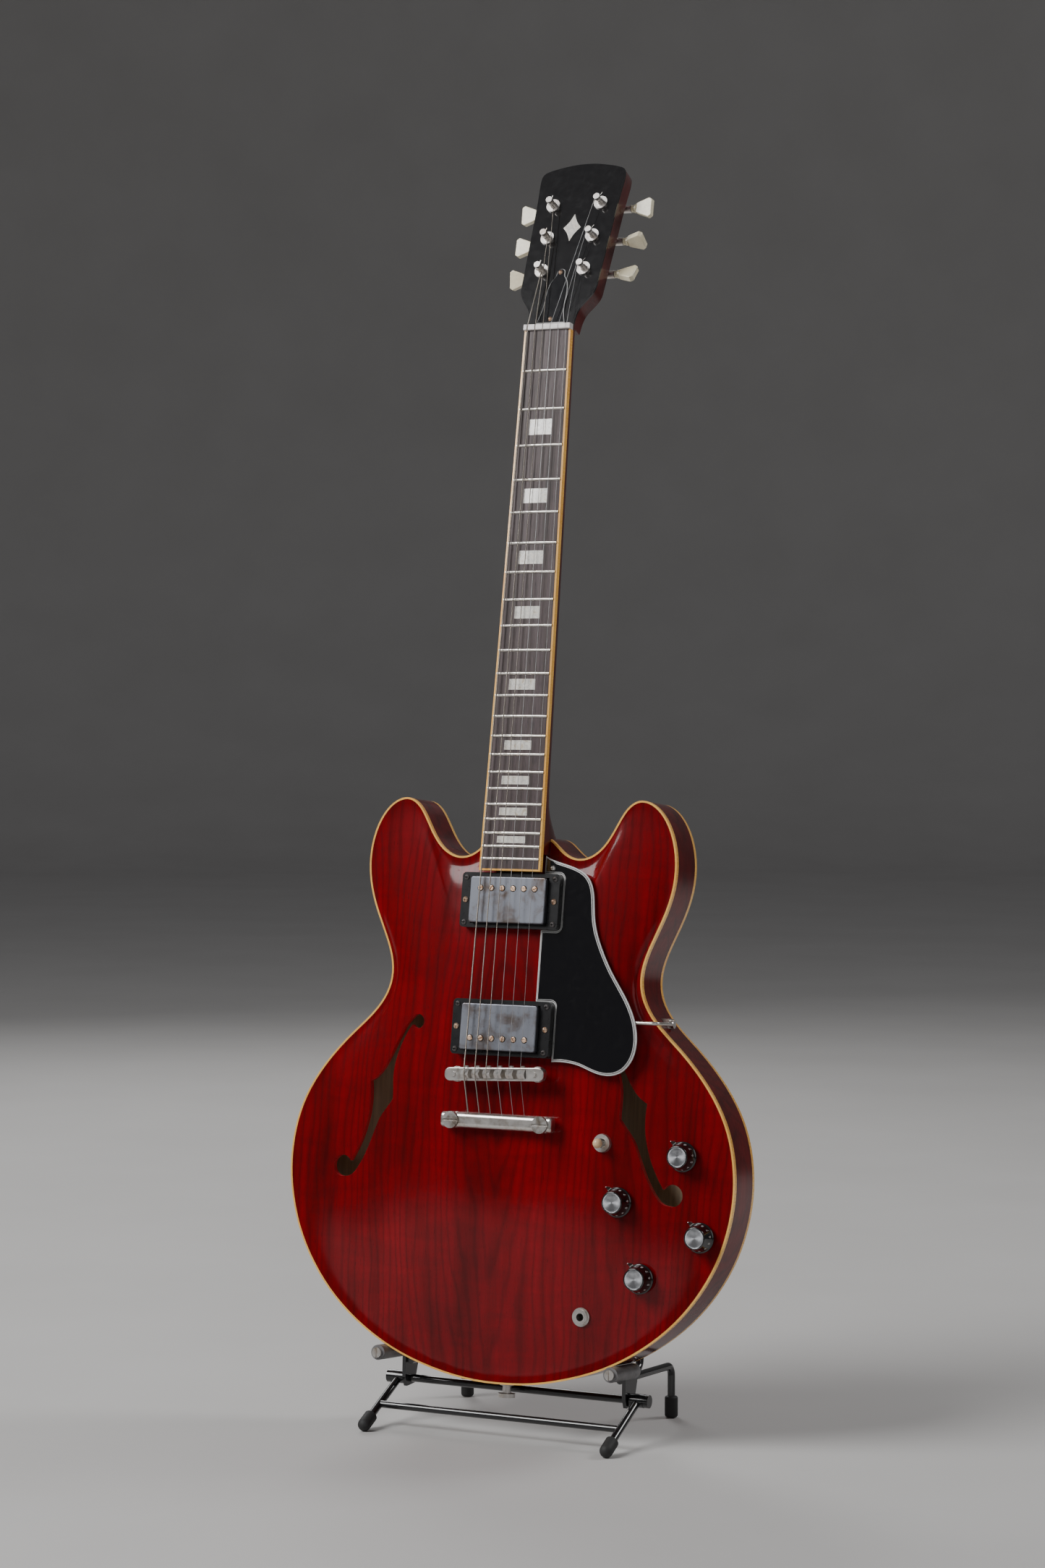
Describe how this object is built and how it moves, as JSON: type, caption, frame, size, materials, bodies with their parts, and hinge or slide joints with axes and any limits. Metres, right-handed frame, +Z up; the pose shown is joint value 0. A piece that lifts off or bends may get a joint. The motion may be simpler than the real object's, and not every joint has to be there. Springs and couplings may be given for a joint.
{
  "type": "guitar on stand",
  "caption": "Semi-hollow double-cutaway electric guitar leaning on a low folding rod stand; tuners, knobs, selector and folding legs move.",
  "frame": {"origin": "on the floor, at the centre of the bounding box's bottom face", "axes": "+X to the right of a person facing the guitar, +Y away from that person, +Z up"},
  "size_m": [0.4102, 0.2169, 1.0726],
  "materials": {
    "binding": "gloss",
    "black_enamel": "satin",
    "black_gloss": "gloss",
    "black_plastic": "satin",
    "block_maple": "satin",
    "bone": "satin",
    "cherry_maple": "gloss",
    "clear_sleeve": "satin",
    "ivory_plastic": "gloss",
    "knob_black": "gloss",
    "mahogany": "gloss",
    "nickel": "aged polish",
    "nickel_silver": "polished",
    "pearl": "gloss",
    "rosewood": "satin",
    "rubber": "matt",
    "steel": "satin"
  },
  "bodies": {
    "stand": {"cradle_rod": "black_enamel", "peg_sleeves": "clear_sleeve", "peg_caps": "nickel", "rest_sleeve": "clear_sleeve", "side_brackets": "black_enamel", "hinge_tube": "black_enamel", "rear_legs": "black_enamel", "rear_feet": "rubber"},
    "front_legs": {"front_legs": "black_enamel", "front_feet": "rubber"},
    "guitar": {"body_top": "cherry_maple", "body_back": "cherry_maple", "body_rim": "cherry_maple", "centre_block": "block_maple", "body_binding": "binding", "neck": "mahogany", "headstock_face": "black_gloss", "fretboard": "rosewood", "fretboard_inlays": "pearl", "fretboard_binding": "binding", "frets": "nickel_silver", "nut": "bone", "truss_rod": "steel", "truss_rod_cover": "black_plastic", "tuner_bushings": "nickel", "tuner_housings": "nickel", "strings": "steel", "pickup_rings": "black_plastic", "pickup_covers": "nickel", "pickup_coils": "black_plastic", "pickup_screws": "nickel", "bridge": "nickel", "bridge_posts": "nickel", "bridge_saddles": "nickel", "stop_tailpiece": "nickel", "tailpiece_studs": "nickel", "pickguard": "black_plastic", "pickguard_fixings": "nickel", "potentiometers": "steel", "knob_pointers": "nickel", "toggle_switch": "nickel", "output_jack": "nickel", "strap_buttons": "nickel"},
    "tuner_post_1": {"tuner_post_1": "nickel"},
    "tuner_button_1": {"tuner_button_1": "ivory_plastic"},
    "tuner_post_2": {"tuner_post_2": "nickel"},
    "tuner_button_2": {"tuner_button_2": "ivory_plastic"},
    "tuner_post_3": {"tuner_post_3": "nickel"},
    "tuner_button_3": {"tuner_button_3": "ivory_plastic"},
    "tuner_post_4": {"tuner_post_4": "nickel"},
    "tuner_button_4": {"tuner_button_4": "ivory_plastic"},
    "tuner_post_5": {"tuner_post_5": "nickel"},
    "tuner_button_5": {"tuner_button_5": "ivory_plastic"},
    "tuner_post_6": {"tuner_post_6": "nickel"},
    "tuner_button_6": {"tuner_button_6": "ivory_plastic"},
    "knob_1": {"knob_1": "knob_black"},
    "knob_2": {"knob_2": "knob_black"},
    "knob_3": {"knob_3": "knob_black"},
    "knob_4": {"knob_4": "knob_black"},
    "toggle_lever": {"toggle_lever": "ivory_plastic"}
  },
  "joints": [
    {"name": "front_legs_fold", "type": "hinge", "parent": "stand", "child": "front_legs", "pos_m": [0, -0.038, 0.034], "axis": [1, 0, 0], "range_deg": [0, 135]},
    {"name": "guitar_lift", "type": "slide", "parent": "stand", "child": "guitar", "axis": [0, 0.1045, 0.9945], "range_m": [0, 0.3]},
    {"name": "tuner_post_1_turn", "type": "hinge", "parent": "guitar", "child": "tuner_post_1", "pos_m": [-0.0198, 0.05085, 0.97609], "axis": [0, -0.8973, 0.4415], "continuous": true},
    {"name": "tuner_button_1_turn", "type": "hinge", "parent": "guitar", "child": "tuner_button_1", "pos_m": [-0.0198, 0.07122, 0.97219], "axis": [-1, 0, 0], "continuous": true},
    {"name": "tuner_post_2_turn", "type": "hinge", "parent": "guitar", "child": "tuner_post_2", "pos_m": [-0.0212, 0.06542, 1.0057], "axis": [0, -0.8973, 0.4415], "continuous": true},
    {"name": "tuner_button_2_turn", "type": "hinge", "parent": "guitar", "child": "tuner_button_2", "pos_m": [-0.0212, 0.08579, 1.0018], "axis": [-1, 0, 0], "continuous": true},
    {"name": "tuner_post_3_turn", "type": "hinge", "parent": "guitar", "child": "tuner_post_3", "pos_m": [-0.0225, 0.07999, 1.0353], "axis": [0, -0.8973, 0.4415], "continuous": true},
    {"name": "tuner_button_3_turn", "type": "hinge", "parent": "guitar", "child": "tuner_button_3", "pos_m": [-0.0225, 0.10036, 1.03141], "axis": [-1, 0, 0], "continuous": true},
    {"name": "tuner_post_4_turn", "type": "hinge", "parent": "guitar", "child": "tuner_post_4", "pos_m": [0.0198, 0.05085, 0.97609], "axis": [0, -0.8973, 0.4415], "continuous": true},
    {"name": "tuner_button_4_turn", "type": "hinge", "parent": "guitar", "child": "tuner_button_4", "pos_m": [0.0198, 0.07122, 0.97219], "axis": [1, 0, 0], "continuous": true},
    {"name": "tuner_post_5_turn", "type": "hinge", "parent": "guitar", "child": "tuner_post_5", "pos_m": [0.0212, 0.06542, 1.0057], "axis": [0, -0.8973, 0.4415], "continuous": true},
    {"name": "tuner_button_5_turn", "type": "hinge", "parent": "guitar", "child": "tuner_button_5", "pos_m": [0.0212, 0.08579, 1.0018], "axis": [1, 0, 0], "continuous": true},
    {"name": "tuner_post_6_turn", "type": "hinge", "parent": "guitar", "child": "tuner_post_6", "pos_m": [0.0225, 0.07999, 1.0353], "axis": [0, -0.8973, 0.4415], "continuous": true},
    {"name": "tuner_button_6_turn", "type": "hinge", "parent": "guitar", "child": "tuner_button_6", "pos_m": [0.0225, 0.10036, 1.03141], "axis": [1, 0, 0], "continuous": true},
    {"name": "knob_1_turn", "type": "hinge", "parent": "guitar", "child": "knob_1", "pos_m": [0.161, -0.0593, 0.24065], "axis": [0, -0.9945, 0.1045], "range_deg": [0, 300]},
    {"name": "knob_2_turn", "type": "hinge", "parent": "guitar", "child": "knob_2", "pos_m": [0.107, -0.06722, 0.20126], "axis": [0, -0.9945, 0.1045], "range_deg": [0, 300]},
    {"name": "knob_3_turn", "type": "hinge", "parent": "guitar", "child": "knob_3", "pos_m": [0.178, -0.06342, 0.17673], "axis": [0, -0.9945, 0.1045], "range_deg": [0, 300]},
    {"name": "knob_4_turn", "type": "hinge", "parent": "guitar", "child": "knob_4", "pos_m": [0.1275, -0.06945, 0.14066], "axis": [0, -0.9945, 0.1045], "range_deg": [0, 300]},
    {"name": "toggle_flip", "type": "hinge", "parent": "guitar", "child": "toggle_lever", "pos_m": [0.091, -0.06191, 0.24796], "axis": [1, 0, 0], "range_deg": [-11, 11]}
  ],
  "couplings": [
    {"joint": "tuner_post_1_turn", "follows": "tuner_button_1_turn", "ratio": -0.066667},
    {"joint": "tuner_post_2_turn", "follows": "tuner_button_2_turn", "ratio": -0.066667},
    {"joint": "tuner_post_3_turn", "follows": "tuner_button_3_turn", "ratio": -0.066667},
    {"joint": "tuner_post_4_turn", "follows": "tuner_button_4_turn", "ratio": 0.066667},
    {"joint": "tuner_post_5_turn", "follows": "tuner_button_5_turn", "ratio": 0.066667},
    {"joint": "tuner_post_6_turn", "follows": "tuner_button_6_turn", "ratio": 0.066667}
  ]
}
